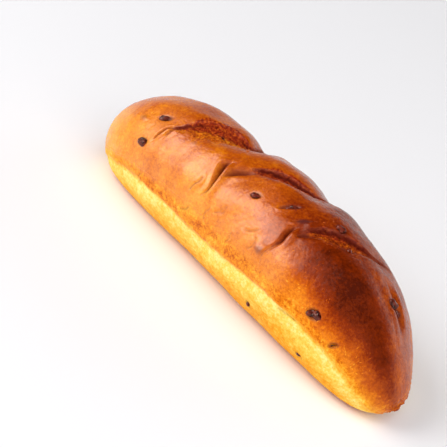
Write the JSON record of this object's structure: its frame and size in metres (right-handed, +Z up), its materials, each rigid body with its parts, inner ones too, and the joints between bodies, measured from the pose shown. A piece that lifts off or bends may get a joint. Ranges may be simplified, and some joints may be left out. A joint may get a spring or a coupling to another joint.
{
  "type": "chocolate chip milk bread baton",
  "caption": "Soft baked milk bread baton with diagonal slashes across a glossy browned crown, a pale band round its foot, and chocolate chips baked into the crust.",
  "frame": {"origin": "on the surface the loaf rests on, under the middle of its bounding box", "axes": "+X along the loaf to its sharper end, +Z up, -Y the front as shown in the picture"},
  "size_m": [0.2004, 0.0614, 0.0575],
  "materials": {
    "crust": "egg-washed bread crust, satin to glossy, orange-brown to deep brown, over a pale cream-yellow matt band",
    "chocolate": "baked dark chocolate, satin, a little dusty"
  },
  "bodies": {
    "root": {"loaf": "crust"}
  },
  "joints": []
}
